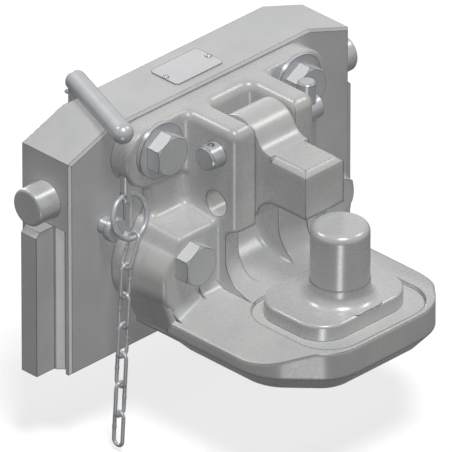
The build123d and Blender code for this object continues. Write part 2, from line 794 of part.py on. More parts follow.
with BuildPart() as hook_body:
    add(waist.part)
    add(web.part)
    add(upper_bar.part)
    add(lower_lugs.part)
    add(ears.part)
    # coves where the ears and the web run into the bar and the lugs
    lug_front_y = front_y - lower_lug_depth
    bar_cove = (ear_outer, front_y - bar_depth, upper_lug_z - slope_gap)
    fillet(edges_near(hook_body, [bar_cove], slope_gap), cove)
    web_mid_y = front_y - (web_top_depth + web_foot_depth) / 2
    web_cove = (ear_outer, web_mid_y, (upper_lug_z - upper_lug_radius + lower_lug_top) / 2)
    lug_cove = (ear_outer, (lug_front_y + web_mid_y) / 2, lower_lug_top)
    ledge_cove = ((block_half + ear_outer) / 2, web_mid_y, lower_lug_top + slope_gap)
    fillet(edges_near(hook_body, [web_cove, lug_cove, ledge_cove], 2 * slope_gap), cove)
    lug_front_edges = [
        edge
        for edge in hook_body.edges()
        if abs(edge.center().Y - lug_front_y) < 0.1
        and abs(edge.center().X) > ear_outer
        and edge.center().Z > lug_foot - 1
    ]
    fillet(lug_front_edges, lug_edge)
    face_cove = (ear_outer, lug_front_y, (lower_lug_top + lug_foot) / 2)
    fillet(edges_near(hook_body, [face_cove], 2 * slope_gap), lug_face_cove)
    add(nose.part)
    with BuildSketch(Plane.XY.offset(nose_foot)):
        with Locations((0, front_y - lower_lug_depth / 2)):
            Rectangle(2 * base_half, lower_lug_depth)
    extrude(amount=lug_foot - nose_foot + cast_overlap)
    # throat around the piton, for the ring of the drawbar
    with BuildSketch(Plane.YZ):
        with BuildLine():
            wall_y = piton_y + throat_radius
            floor_end = (wall_y - throat_floor_round, nose_top)
            wall_foot = (wall_y, nose_top + throat_floor_round)
            wall_head = (wall_y, throat_top - throat_roof_round)
            roof_end = (wall_y - throat_roof_round, throat_top)
            Line((piton_y, nose_top), floor_end)
            RadiusArc(floor_end, wall_foot, -throat_floor_round)
            Line(wall_foot, wall_head)
            RadiusArc(wall_head, roof_end, -throat_roof_round)
            Polyline(roof_end, (piton_y, throat_top), (piton_y, nose_top))
        make_face()
    revolve(axis=Axis((0, piton_y, 0), (0, 0, 1)), mode=Mode.SUBTRACT)
    # scoops from the lugs' fronts down onto the nose
    for side in (-1, 1):
        flat_start = Vector(side * (ear_outer - cast_overlap), lug_front_y, nose_top)
        slope_start = Vector(side * nose_flat_half, lug_front_y, nose_top)
        slope_fall = (scoop_half - nose_flat_half) * nose_slope
        slope_end = Vector(side * scoop_half, lug_front_y, nose_top - slope_fall)
        for start, end in ((flat_start, slope_start), (slope_start, slope_end)):
            run = end - start
            rise = Vector(-run.Z, 0, run.X).normalized() * side
            with BuildSketch(Plane(origin=start, x_dir=(0, -1, 0), z_dir=run)) as scoop_face:
                up = 1 if scoop_face.workplanes[0].y_dir.dot(rise) > 0 else -1
                with BuildLine():
                    Polyline(
                        (scoop_radius, 0),
                        (scoop_radius, -up * cast_overlap),
                        (-cast_overlap, -up * cast_overlap),
                        (-cast_overlap, up * scoop_radius),
                        (0, up * scoop_radius),
                    )
                    ThreePointArc(
                        (0, up * scoop_radius),
                        (scoop_radius * (1 - cos(pi / 4)), up * scoop_radius * (1 - sin(pi / 4))),
                        (scoop_radius, 0),
                    )
                make_face()
            extrude(amount=run.length)
    # slot between the ears, running out over the throat's floor as a curved chute
    add(slot_cut.part, mode=Mode.SUBTRACT)
    # seat of the piton's flange
    with BuildSketch(Plane.XY.offset(nose_top)):
        with Locations((0, front_y - (seat_back_depth + seat_front_depth) / 2)):
            RectangleRounded(2 * seat_half, seat_front_depth - seat_back_depth, seat_round)
    extrude(amount=-seat_depth, mode=Mode.SUBTRACT)
    with BuildSketch(Plane.XY.offset(nose_top)):
        with Locations((0, piton_y)):
            Circle(spigot_dia / 2 + pin_fit)
    extrude(amount=-nose_top, mode=Mode.SUBTRACT)
    with BuildSketch(Plane.XY.offset(nose_bottom)):
        with Locations((0, piton_y)):
            Circle(nut_pocket_dia / 2)
    extrude(amount=nut_pocket_depth, mode=Mode.SUBTRACT)
    # bores for bolts and pins
    with BuildSketch(front_plane(0)):
        with Locations(*[(sx * bolt_x, z) for sx in (-1, 1) for z in (upper_bolt_z, lower_bolt_z)]):
            Circle(bolt_dia / 2 + hole_clear)
    extrude(amount=ear_depth, mode=Mode.SUBTRACT)
    with BuildSketch(Plane.YZ.offset(-ear_outer - cove)):
        with Locations((pin_y, pin_z)):
            Circle(pin_dia / 2 + pin_fit)
        with Locations((pin_y, lock_hole_z)):
            Circle(lock_hole_dia / 2)
    extrude(amount=2 * (ear_outer + cove), mode=Mode.SUBTRACT)
    with BuildSketch(Plane.XY.offset(ring_pin_top)):
        with Locations((ring_pin_x, front_y - ring_pin_depth)):
            Circle(ring_pin_dia / 2)
    extrude(amount=-(ring_pin_top - ring_pin_foot), mode=Mode.SUBTRACT)
hook_body.part.label = "hook_body"
export_step(hook_body.part, "parts/hook_body.step")

# Piton with its flange, spigot, washer and nut
flange_foot = nose_top - seat_depth
with BuildPart() as piton:
    with BuildSketch(Plane.XY.offset(flange_foot)):
        with Locations((0, flange_mid_y)):
            RectangleRounded(2 * flange_half, flange_length, flange_round)
    extrude(amount=flange_top - flange_foot)
    fillet(piton.faces().sort_by(Axis.Z)[-1].edges(), flange_edge)
    with BuildSketch(Plane.YZ):
        with BuildLine():
            side_y = piton_y + piton_dia / 2
            band_y = piton_y + piton_band_dia / 2
            root_end = (band_y + root_radius, flange_top)
            band_low = (band_y, flange_top + root_radius)
            crown_low = (side_y, piton_top - piton_crown)
            crown_high = (side_y - piton_crown, piton_top)
            Polyline((piton_y, flange_foot), (band_y + root_radius, flange_foot), root_end)
            RadiusArc(root_end, band_low, root_radius)
            Polyline(band_low, (band_y, band_top - (band_y - side_y)), (side_y, band_top), crown_low)
            RadiusArc(crown_low, crown_high, -piton_crown)
            Polyline(crown_high, (piton_y, piton_top), (piton_y, flange_foot))
        make_face()
    revolve(axis=Axis((0, piton_y, 0), (0, 0, 1)))
    with BuildSketch(Plane.XY.offset(flange_foot)):
        with Locations((0, piton_y)):
            Circle(spigot_dia / 2)
    extrude(amount=-(flange_foot - nose_bottom - spigot_inset))
piton.part.label = "piton"
export_step(piton.part, "parts/piton.step")

nut_top = nose_bottom + nut_pocket_depth
with BuildPart() as piton_washer:
    with BuildSketch(Plane.XY.offset(nut_top)):
        with Locations((0, piton_y)):
            Circle(piton_washer_dia / 2)
            Circle(spigot_dia / 2 + washer_play, mode=Mode.SUBTRACT)
    extrude(amount=-piton_washer_thick)
piton_washer.part.label = "piton_washer"
export_step(piton_washer.part, "parts/piton_washer.step")

with BuildPart() as piton_nut:
    with BuildSketch(Plane.XY.offset(nut_top - piton_washer_thick)):
        with Locations((0, piton_y)):
            RegularPolygon(across(piton_nut_flats), 6)
            Circle(spigot_dia / 2 + thread_fit, mode=Mode.SUBTRACT)
    extrude(amount=-piton_nut_height)
piton_nut.part.label = "piton_nut"
export_step(piton_nut.part, "parts/piton_nut.step")


# Hexagon bolts
def hexagon_bolts(z, under_head, turn):
    """Two bolts at this height whose heads bear at this depth in front of the plate."""
    with BuildPart() as made:
        with BuildSketch(front_plane(under_head)):
            with Locations((-bolt_x, z), (bolt_x, z)):
                RegularPolygon(across(bolt_flats), 6, rotation=turn)
        extrude(amount=bolt_head)
        with BuildSketch(front_plane(under_head + bolt_head)):
            with Locations((-bolt_x, z), (bolt_x, z)):
                Circle(bolt_flats / 2)
        extrude(amount=-bolt_head, taper=-bolt_head_cone, mode=Mode.INTERSECT)
        with BuildSketch(front_plane(under_head)):
            with Locations((-bolt_x, z), (bolt_x, z)):
                Circle(bolt_dia / 2)
        extrude(amount=-(under_head + bolt_grip - bolt_tip_gap))
    return made.part


for name, z, under_head in (
    ("upper_bolts", upper_bolt_z, bar_depth + washer_thick),
    ("lower_bolts", lower_bolt_z, lower_lug_depth),
):
    bolts_part = hexagon_bolts(z, under_head, bolt_turn)
    bolts_part.label = name
    export_step(bolts_part, "parts/" + name + ".step")

with BuildPart() as upper_washers:
    with BuildSketch(front_plane(bar_depth)):
        with Locations((-bolt_x, upper_bolt_z), (bolt_x, upper_bolt_z)):
            Circle(washer_dia / 2)
            Circle(bolt_dia / 2 + hole_clear, mode=Mode.SUBTRACT)
    extrude(amount=washer_thick)
upper_washers.part.label = "upper_washers"
export_step(upper_washers.part, "parts/upper_washers.step")

# Keeper: boss on the pin, nose over the piton, tail with the locking hole
with BuildPart() as keeper:
    with BuildSketch(Plane.YZ.offset(-keeper_width / 2)) as keeper_side:
        with Locations((pin_y, pin_z), (pin_y, lock_hole_z)):
            Circle(keeper_boss_radius)
        with Locations((pin_y, (pin_z + lock_hole_z) / 2)):
            Rectangle(2 * keeper_boss_radius, pin_z - lock_hole_z)
        with BuildLine():
            nose_y = front_y - keeper_nose_depth
            heel_y = front_y - keeper_heel_depth
            flat_y = front_y - keeper_flat_depth
            shoulder_out = polar(keeper_boss_radius, radians(keeper_shoulder_angle))
            shoulder_point = (pin_y + shoulder_out[0], pin_z + shoulder_out[1])
            tail_out = polar(keeper_boss_radius, radians(keeper_tail_angle))
            tail_point = (pin_y + tail_out[0], lock_hole_z + tail_out[1])
            Line((pin_y, pin_z), shoulder_point)
            dip_run = shoulder_point[0] - flat_y
            dip_fall = shoulder_point[1] - keeper_top
            dip_radius = (dip_run**2 + dip_fall**2) / (2 * dip_fall)
            dip_angle = (atan2(dip_fall - dip_radius, dip_run) - pi / 2) / 2
            dip_out = polar(dip_radius, dip_angle)
            dip_middle = (flat_y + dip_out[0], keeper_top + dip_radius + dip_out[1])
            ThreePointArc(shoulder_point, dip_middle, (flat_y, keeper_top))
            Polyline(
                (flat_y, keeper_top),
                (nose_y, keeper_top),
                (nose_y, keeper_nose_foot),
                (heel_y, keeper_nose_foot),
            )
            RadiusArc((heel_y, keeper_nose_foot), tail_point, keeper_underside_radius)
            Polyline(tail_point, (pin_y, lock_hole_z), (pin_y, pin_z))
        make_face()
    extrude(amount=keeper_width)
    with BuildSketch(depth_plane(flat_y)):
        for side in (-1, 1):
            with BuildLine():
                Polyline(
                    (side * keeper_width / 2, keeper_top - keeper_nose_edge),
                    (side * (keeper_width / 2 - keeper_nose_edge), keeper_top),
                    (side * keeper_width / 2, keeper_top),
                    close=True,
                )
            make_face()
    extrude(amount=keeper_nose_depth - keeper_flat_depth, mode=Mode.SUBTRACT)
    nose_edges = keeper.edges().filter_by(Axis.X).group_by(Axis.Y)[0]
    chamfer(nose_edges.sort_by(Axis.Z)[-1], keeper_nose_edge)
    with BuildSketch(Plane.YZ.offset(-keeper_width / 2)):
        with Locations((pin_y, pin_z)):
            Circle(pin_dia / 2 + pin_fit)
        with Locations((pin_y, lock_hole_z)):
            Circle(lock_hole_dia / 2)
    extrude(amount=keeper_width, mode=Mode.SUBTRACT)
keeper.part.label = "keeper"
export_step(keeper.part, "parts/keeper.step")

# Pull pin with its cross hole and the upright bar through its right end
pin_left = -ear_outer - pin_out
pin_right = bar_x + bar_dia / 2 + bar_pin_stub
with BuildPart() as keeper_pin:
    with BuildSketch(Plane.YZ.offset(pin_left)):
        with Locations((pin_y, pin_z)):
            Circle(pin_dia / 2)
    extrude(amount=pin_right - pin_left)
    chamfer(keeper_pin.edges().filter_by(GeomType.CIRCLE), pin_end_chamfer)
    with BuildSketch(Plane.XY.offset(pin_z - pin_dia)):
        with Locations((pin_left + pin_cross_inset, pin_y)):
            Circle(pin_cross_hole / 2)
        with Locations((bar_x, pin_y)):
            Circle(bar_dia / 2)
    extrude(amount=2 * pin_dia, mode=Mode.SUBTRACT)
keeper_pin.part.label = "keeper_pin"
export_step(keeper_pin.part, "parts/keeper_pin.step")

with BuildPart() as keeper_pin_bar:
    with BuildSketch(Plane.XY.offset(bar_foot_z)):
        with Locations((bar_x, pin_y)):
            Circle(bar_dia / 2)
    extrude(amount=bar_top_z - bar_foot_z)
    chamfer(keeper_pin_bar.edges().filter_by(GeomType.CIRCLE), bar_end_chamfer)
keeper_pin_bar.part.label = "keeper_pin_bar"
export_step(keeper_pin_bar.part, "parts/keeper_pin_bar.step")

# Parking stud on the plate's front
with BuildPart() as parking_stud:
    with BuildSketch(front_plane(-stud_root)):
        with Locations((stud_x, stud_z)):
            Circle(stud_root / 2)
    extrude(amount=stud_root)
    with BuildSketch(front_plane(0)):
        with Locations((stud_x, stud_z)):
            Circle(stud_shank_dia / 2)
    extrude(amount=stud_out - stud_head_thick)
    with BuildSketch(front_plane(stud_out - stud_head_thick)):
        with Locations((stud_x, stud_z)):
            Circle(stud_head_dia / 2)
    extrude(amount=stud_head_thick)
    fillet(parking_stud.edges().group_by(Axis.Y)[0], stud_edge)
parking_stud.part.label = "parking_stud"
export_step(parking_stud.part, "parts/parking_stud.step")

# Ring pin under the upper left lug, with the ring through its cross hole
ring_pin_y = front_y - ring_pin_depth
with BuildPart() as ring_pin:
    with BuildSketch(Plane.XY.offset(ring_pin_foot)):
        with Locations((ring_pin_x, ring_pin_y)):
            Circle(ring_pin_dia / 2)
    extrude(amount=ring_pin_top - ring_pin_foot)
    fillet(ring_pin.edges().sort_by(Axis.Z)[0], ring_pin_round)
    with BuildSketch(Plane.YZ.offset(ring_pin_x - ring_pin_dia)):
        with Locations((ring_pin_y, ring_hole_z)):
            Circle(ring_hole_dia / 2)
    extrude(amount=2 * ring_pin_dia, mode=Mode.SUBTRACT)
ring_pin.part.label = "ring_pin"
export_step(ring_pin.part, "parts/ring_pin.step")

tilt = radians(ring_tilt)
ring_centre = (ring_pin_x, ring_pin_y - ring_radius * sin(tilt), ring_hole_z - ring_radius * cos(tilt))
with BuildPart() as pull_ring:
    with BuildSketch(Plane(origin=ring_centre, x_dir=(0, sin(tilt), cos(tilt)), z_dir=(1, 0, 0))):
        with Locations((ring_radius, 0)):
            Circle(ring_wire / 2)
    revolve(axis=Axis(ring_centre, (0, -cos(tilt), sin(tilt))))
pull_ring.part.label = "pull_ring"
export_step(pull_ring.part, "parts/pull_ring.step")


# Chain of long links, every other one turned a quarter
def chain_link(centre, lean, turned):
    """One link: two straight sides and two half circles, leaning out to the left by this angle."""
    along = (-sin(lean), 0, -cos(lean))
    flat = (0, 1, 0) if turned else (cos(lean), 0, -sin(lean))
    normal = (cos(lean), 0, -sin(lean)) if turned else (0, 1, 0)
    bend = (link_width - link_wire) / 2
    straight = link_pitch + link_clear - 2 * (bend - link_wire / 2)
    path_plane = Plane(origin=centre, x_dir=along, z_dir=normal)
    with BuildPart() as made:
        with BuildLine(path_plane) as path:
            Line((-straight / 2, bend), (straight / 2, bend))
            ThreePointArc((straight / 2, bend), (straight / 2 + bend, 0), (straight / 2, -bend))
            Line((straight / 2, -bend), (-straight / 2, -bend))
            ThreePointArc((-straight / 2, -bend), (-straight / 2 - bend, 0), (-straight / 2, bend))
        with BuildSketch(Plane(origin=path.line @ 0, z_dir=path.line % 0)):
            Circle(link_wire / 2)
        sweep()
    return made.part


ring_foot = (
    ring_pin_x,
    ring_pin_y - 2 * ring_radius * sin(tilt),
    ring_hole_z - 2 * ring_radius * cos(tilt),
)
links = []
lean = radians(first_link_lean)
first_drop = (link_pitch + link_clear) / 2 - ring_wire / 2 - first_link_clear
centre = (ring_foot[0] - first_drop * sin(lean), ring_foot[1], ring_foot[2] - first_drop * cos(lean))
for number in range(link_count):
    links.append(chain_link(centre, lean, number % 2 == 0))
    hinge = (centre[0] - link_pitch / 2 * sin(lean), centre[1], centre[2] - link_pitch / 2 * cos(lean))
    lean = radians(chain_lean)
    centre = (hinge[0] - link_pitch / 2 * sin(lean), hinge[1], hinge[2] - link_pitch / 2 * cos(lean))
links[0].label = "top_link"
export_step(links[0], "parts/top_link.step")
chain_links = Compound(label="chain_links", children=links[1:])
export_step(chain_links, "parts/chain_links.step")
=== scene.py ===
# %% [markdown]
# # A slide-in tractor hitch with a fixed pin and a hold-down keeper
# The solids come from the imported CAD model, so every piece already sits where it belongs.
# This script gives each one its metal or its paint, adds the small things that a solid model
# leaves out, carves and fills the few places where the reference is rounder or flatter than
# that model, and sets up a plain studio round the whole.

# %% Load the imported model
import json
import math

import bmesh
import bpy
from mathutils import Matrix, Vector


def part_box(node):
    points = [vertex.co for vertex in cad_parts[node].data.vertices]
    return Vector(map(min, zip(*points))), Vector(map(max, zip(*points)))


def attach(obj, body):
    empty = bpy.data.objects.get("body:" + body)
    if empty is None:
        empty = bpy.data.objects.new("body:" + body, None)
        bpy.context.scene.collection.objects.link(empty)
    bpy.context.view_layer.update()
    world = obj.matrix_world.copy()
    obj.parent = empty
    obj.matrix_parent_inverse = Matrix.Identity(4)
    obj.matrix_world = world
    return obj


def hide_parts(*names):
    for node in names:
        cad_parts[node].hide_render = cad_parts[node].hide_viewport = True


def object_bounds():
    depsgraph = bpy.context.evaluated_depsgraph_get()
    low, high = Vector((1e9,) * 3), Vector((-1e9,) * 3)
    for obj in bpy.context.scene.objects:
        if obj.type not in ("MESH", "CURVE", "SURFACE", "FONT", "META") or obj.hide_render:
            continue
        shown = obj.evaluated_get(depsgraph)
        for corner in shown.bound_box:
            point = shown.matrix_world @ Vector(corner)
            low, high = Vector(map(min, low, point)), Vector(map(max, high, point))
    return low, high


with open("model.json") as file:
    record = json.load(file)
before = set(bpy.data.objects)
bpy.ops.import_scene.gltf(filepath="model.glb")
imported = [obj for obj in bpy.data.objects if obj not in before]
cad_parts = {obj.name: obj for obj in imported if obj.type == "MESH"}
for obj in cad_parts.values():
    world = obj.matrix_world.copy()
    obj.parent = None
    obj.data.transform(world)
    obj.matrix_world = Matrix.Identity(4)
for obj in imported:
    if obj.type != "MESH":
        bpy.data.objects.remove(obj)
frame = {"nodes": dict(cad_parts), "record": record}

MM = 0.001
nodes = frame["nodes"]
scene = bpy.context.scene
cad_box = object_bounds()
print("pieces:", len(nodes), "size in mm:", [round((b - a) / MM, 1) for a, b in zip(*cad_box)])

# %% [markdown]
# ## Helpers for shapes
# Shapes are sketched as bmesh points and faces, then become a mesh and an object. A skin runs
# from ring to ring of points and is closed at both ends: a bar along a path is one, and so is
# a cutter that follows an outline.

# %% Shape functions
def add_object(name, data):
    """An object in the scene, at the origin."""
    made = bpy.data.objects.new(name, data)
    scene.collection.objects.link(made)
    return made


def mesh_from(name, shape):
    """A mesh with the faces of the bmesh shape, which is freed."""
    made = bpy.data.meshes.new(name)
    shape.to_mesh(made)
    shape.free()
    return made


def skin(rings):
    """A closed bmesh shape round rings of points that all have the same count."""
    shape = bmesh.new()
    loops = [[shape.verts.new(point) for point in ring] for ring in rings]
    for low, high in zip(loops, loops[1:]):
        for k in range(len(low)):
            shape.faces.new((low[k - 1], low[k], high[k], high[k - 1]))
    shape.faces.new(loops[0][::-1])
    shape.faces.new(loops[-1])
    bmesh.ops.recalc_face_normals(shape, faces=shape.faces)
    return shape


def volume(shape):
    """Volume of a bmesh shape in cubic centimetres."""
    return round(shape.calc_volume() / MM ** 3 / 1000, 1)


print("shape functions:", [made.__name__ for made in (add_object, mesh_from, skin, volume)])

# %% [markdown]
# ## Helpers for colours and shader nodes
# Paint colours are written as the hex values of a paint chart. Blender works with light, so
# one function turns them to linear numbers. Another adds a shader node with its inputs, and
# three short ones stand for what comes back most often: a blend of two colours, a mix of two
# shaders, and a value that is moved from one range to another.

# %% Colour and node functions
def linear(hex_colour):
    """Linear red, green, blue and alpha of an sRGB hex colour."""
    channels = [int(hex_colour[i:i + 2], 16) / 255 for i in (1, 3, 5)]
    light = [c / 12.92 if c <= 0.04045 else ((c + 0.055) / 1.055) ** 2.4 for c in channels]
    return (*light, 1.0)


def empty_tree(owner):
    """The node tree of a world or a material, with nothing in it."""
    owner.use_nodes = True
    owner.node_tree.nodes.clear()
    return owner.node_tree


def add_node(tree, kind, settings=None, inputs=None, **named):
    """Adds a shader node: settings are its properties, inputs go by number and named ones by
    name. A node or a socket is linked to its input, anything else becomes the input's value."""
    node = tree.nodes.new(kind)
    for name, value in (settings or {}).items():
        setattr(node, name, value)
    wanted = dict(inputs or {})
    wanted.update({name.replace("_", " "): value for name, value in named.items()})
    for key, value in wanted.items():
        if isinstance(value, bpy.types.Node):
            value = value.outputs[0]
        if isinstance(value, bpy.types.NodeSocket):
            tree.links.new(value, node.inputs[key])
        else:
            node.inputs[key].default_value = value
    return node


def blend(tree, share, first, second):
    """The first colour, or by share the second."""
    made = add_node(tree, "ShaderNodeMix", {"data_type": "RGBA"}, {0: share, 6: first, 7: second})
    return made.outputs[2]


def mix_shaders(tree, share, first, second):
    """The first shader, or by share the second."""
    return add_node(tree, "ShaderNodeMixShader", None, {0: share, 1: first, 2: second})


def remap(tree, value, start, end, to_start=0.0, to_end=1.0):
    """Moves a value from the range start to end into another, and no further."""
    return add_node(
        tree, "ShaderNodeMapRange", None,
        Value=value, From_Min=start, From_Max=end, To_Min=to_start, To_Max=to_end,
    )


print("the grey enamel is", [round(c, 3) for c in linear("#BABAB8")[:3]])

# %% [markdown]
# ## The camera
# The reference is drawn without perspective, from the front left and 30 degrees above. A very
# long lens from far away comes close to that and still works as an ordinary camera in other
# views. The point in the middle of the picture and the width that it covers were measured.

# %% Camera
VIEW_TARGET = Vector((16.2, -25.0, 62.5)) * MM
VIEW_WIDTH = 337.1 * MM
AZIMUTH = math.radians(-45)
ELEVATION = math.radians(30)
LENS = 1600
SENSOR = 36
CLIP_NEAR = 0.1
CLIP_FAR = 60

back = Vector((
    math.sin(AZIMUTH) * math.cos(ELEVATION),
    -math.cos(AZIMUTH) * math.cos(ELEVATION),
    math.sin(ELEVATION),
))
distance = VIEW_WIDTH * LENS / SENSOR
lens_data = bpy.data.cameras.new("view_camera")
lens_data.type = "PERSP"
lens_data.lens = LENS
lens_data.sensor_width = SENSOR
lens_data.clip_start = CLIP_NEAR
lens_data.clip_end = CLIP_FAR
camera = add_object("view_camera", lens_data)
camera.location = VIEW_TARGET + back * distance
camera.rotation_mode = "QUATERNION"
camera.rotation_quaternion = (-back).to_track_quat("-Z", "Y")
scene.camera = camera
print("camera distance in m:", round(distance, 2))

# %% [markdown]
# ## Light
# The reference has one clear light from above and a little to the front left: tops are
# brightest, fronts are half as bright, left sides are darker still and undersides are nearly
# black. A sun lamp gives that on every side of the object alike. Half of its light casts no
# shadow, as a large softbox beside it would, so that the shadows stay readable. Three weak
# accent lamps stand where rounded edges mirror them: between top and front, between top and
# left side, and down the upright edges at the front left. All lamps together give a matt top
# about pi, at which it shows its paint as written. A low lamp behind keeps the back readable
# in the other views.

# %% Lamps
scene.view_settings.view_transform = "Standard"

KEY_FROM = Vector((-0.21, -0.37, 0.905))
KEY_STRENGTH = 2.1
SHADOW_SHARE = 0.5
KEY_ANGLE = math.radians(16)
BACK_FROM = Vector((0.4, 0.88, 0.25))
BACK_STRENGTH = 1.2
ACCENT_ANGLE = math.radians(14)
ACCENTS = (
    ("top_front_accent", (0, -0.6, 0.8), 0.75),
    ("top_left_accent", (-0.6, 0, 0.8), 0.75),
    ("upright_accent", (-0.7, -0.7, 0), 0.5),
)


def add_sun(name, come_from, strength, angle, shadow):
    """A sun lamp whose light comes from the given direction."""
    lamp = bpy.data.lights.new(name, "SUN")
    lamp.energy = strength
    lamp.angle = angle
    lamp.use_shadow = shadow
    lamp_object = add_object(name, lamp)
    lamp_object.rotation_mode = "QUATERNION"
    lamp_object.rotation_quaternion = come_from.to_track_quat("Z", "Y")


add_sun("key_lamp", KEY_FROM, KEY_STRENGTH * SHADOW_SHARE, KEY_ANGLE, True)
add_sun("softbox", KEY_FROM, KEY_STRENGTH * (1 - SHADOW_SHARE), KEY_ANGLE, False)
for name, edge_normal, strength in ACCENTS:
    normal = Vector(edge_normal).normalized()
    add_sun(name, 2 * back.dot(normal) * normal - back, strength, ACCENT_ANGLE, False)
add_sun("back_lamp", BACK_FROM, BACK_STRENGTH, KEY_ANGLE, True)
print("key lamps:", KEY_STRENGTH, "accents:", len(ACCENTS), "back lamp:", BACK_STRENGTH)

# %% [markdown]
# The world is a dim room for matt surfaces and a white studio for the camera and for
# reflections. Light Path tells the rays apart, so the background is white without more light
# on the object.

# %% World
FILL = 0.03
FILL_TINT = "#F4F5F7"
WHITE = (1, 1, 1, 1)
BLACK = (0, 0, 0, 1)

world = bpy.data.worlds.new("studio")
scene.world = world
tree = empty_tree(world)
rays = add_node(tree, "ShaderNodeLightPath").outputs
larger = {"operation": "MAXIMUM"}
direct = add_node(
    tree, "ShaderNodeMath", larger, {0: rays["Is Camera Ray"], 1: rays["Is Transmission Ray"]})
seen = add_node(tree, "ShaderNodeMath", larger, {0: direct, 1: rays["Is Glossy Ray"]})
fill = add_node(tree, "ShaderNodeBackground", Color=linear(FILL_TINT), Strength=FILL)
white = add_node(tree, "ShaderNodeBackground", Color=WHITE, Strength=1.0)
add_node(tree, "ShaderNodeOutputWorld", Surface=mix_shaders(tree, seen, fill, white))
print("fill light:", FILL)

# %% [markdown]
# ## Floor
# The floor is a plain sheet under the lowest link of the chain. The camera sees pale paper: its
# own colour under the lamps plus a steady glow, so that it comes out white and still keeps the
# object's soft shadow. Reflections show it dimmer, and light that bounces back to the object
# finds it dark grey, so undersides stay dark as in the reference. Its back is clear, so the
# object can be looked at from below too.

# %% Floor
FLOOR_GAP = 4 * MM
FLOOR_HALF = 6.0
FLOOR_GLOW = 0.12
FLOOR_MIRRORED = 0.25
FLOOR_HIDDEN = "#3C3C3C"
FLOOR_SEEN = "#F0F0F0"

floor_z = cad_box[0].z - FLOOR_GAP
shape = bmesh.new()
bmesh.ops.create_grid(
    shape, x_segments=1, y_segments=1, size=FLOOR_HALF,
    matrix=Matrix.Translation((0, 0, floor_z)))
floor = add_object("floor", mesh_from("floor", shape))
floor_paint = bpy.data.materials.new("white floor")
tree = empty_tree(floor_paint)
rays = add_node(tree, "ShaderNodeLightPath").outputs
seen = add_node(
    tree, "ShaderNodeMath", {"operation": "MULTIPLY_ADD"},
    {0: rays["Is Glossy Ray"], 1: FLOOR_MIRRORED, 2: rays["Is Camera Ray"]})
paper = blend(tree, seen, linear(FLOOR_HIDDEN), linear(FLOOR_SEEN))
matt = add_node(tree, "ShaderNodeBsdfDiffuse", Color=paper)
dark = add_node(tree, "ShaderNodeEmission", Color=BLACK, Strength=0.0)
glow = add_node(tree, "ShaderNodeEmission", Color=WHITE, Strength=FLOOR_GLOW)
lift = mix_shaders(tree, seen, dark, glow)
both = add_node(tree, "ShaderNodeAddShader", None, {0: matt, 1: lift})
under = add_node(tree, "ShaderNodeNewGeometry").outputs["Backfacing"]
clear = add_node(tree, "ShaderNodeBsdfTransparent")
add_node(tree, "ShaderNodeOutputMaterial", Surface=mix_shaders(tree, under, both, clear))
floor.data.materials.append(floor_paint)
print("floor at", round(floor_z / MM, 1), "mm")

# %% [markdown]
# ## Metals and paint
# Every piece is steel under a finish, so one recipe serves them all: a colour that varies a
# little in broad patches, a fine grain that changes the gloss and stands up as bump, and a thin
# dark line where two faces meet. That line is partly painted shade, in the corners between
# faces, and partly worn paint, along the outer edges. The Bevel node finds those places: it
# gives the normal that the edge would have if it were rounded, and where that differs from the
# real one the line is drawn. A second, wider Bevel node takes the hardness off the corners
# themselves. All sizes are in millimetres, which the Mapping node makes of metres.

# %% Finish recipe
PATCH_SIZE = 38
PATCH_RANGE = (0.35, 0.68)
GRAIN_RANGE = (0.3, 0.7)
# the dark edge line's range and breakup: painted shade in the corners, worn paint on outer edges
EDGE_RANGE = (0.992, 0.95)
EDGE_RAGGED = 0.8
EDGE_SAMPLES = 6
SOFT_SAMPLES = 8
GLOSS_CHANGE = 0.03


def finish(name, colour, patch, edge, rough, grain, depth, metal=0.0, stretch=(1, 1, 1),
           line=1.2, soft=0.0, specular=0.5):
    """A finish: colour, patches and edges in hex; grain, depth, line and soft in mm; stretch per
    axis."""
    made = bpy.data.materials.new(name)
    tree = empty_tree(made)
    place = add_node(tree, "ShaderNodeTexCoord").outputs["Object"]
    in_mm = add_node(tree, "ShaderNodeMapping", Vector=place, Scale=(1 / MM, 1 / MM, 1 / MM))
    along = add_node(tree, "ShaderNodeMapping", Vector=in_mm, Scale=stretch)
    patches = add_node(
        tree, "ShaderNodeTexNoise", Vector=in_mm, Scale=1 / PATCH_SIZE, Detail=5.0, Roughness=0.62)
    fine = add_node(
        tree, "ShaderNodeTexNoise", Vector=along, Scale=1 / grain, Detail=3.0, Roughness=0.6)
    tone = blend(tree, remap(tree, patches, *PATCH_RANGE), linear(colour), linear(patch))

    # the dark edge line: painted shade in the corners where faces meet, worn paint on the outer
    # edges
    rounded = add_node(tree, "ShaderNodeBevel", {"samples": EDGE_SAMPLES}, Radius=line * MM)
    real = add_node(tree, "ShaderNodeNewGeometry").outputs["Normal"]
    turn = add_node(
        tree, "ShaderNodeVectorMath", {"operation": "DOT_PRODUCT"}, {0: rounded, 1: real})
    edge_bend = remap(tree, turn.outputs["Value"], *EDGE_RANGE)
    ragged = remap(tree, fine, *GRAIN_RANGE, EDGE_RAGGED, 1.0)
    shade_and_wear_line = add_node(tree, "ShaderNodeMath", {"operation": "MULTIPLY"}, {0: edge_bend, 1: ragged})
    colours = blend(tree, shade_and_wear_line, tone, linear(edge))

    gloss = remap(tree, fine, *GRAIN_RANGE, rough - GLOSS_CHANGE, rough + GLOSS_CHANGE)
    relief = add_node(tree, "ShaderNodeBump", Height=fine, Strength=1.0, Distance=depth * MM)
    if soft:
        corner = add_node(tree, "ShaderNodeBevel", {"samples": SOFT_SAMPLES}, Radius=soft * MM)
        tree.links.new(corner.outputs[0], relief.inputs["Normal"])
    surface = add_node(
        tree, "ShaderNodeBsdfPrincipled", Base_Color=colours, Roughness=gloss, Normal=relief,
        Metallic=metal, Specular_IOR_Level=specular)
    add_node(tree, "ShaderNodeOutputMaterial", Surface=surface)
    return made


print("patches of", PATCH_SIZE, "mm; roughness changes by", GLOSS_CHANGE)
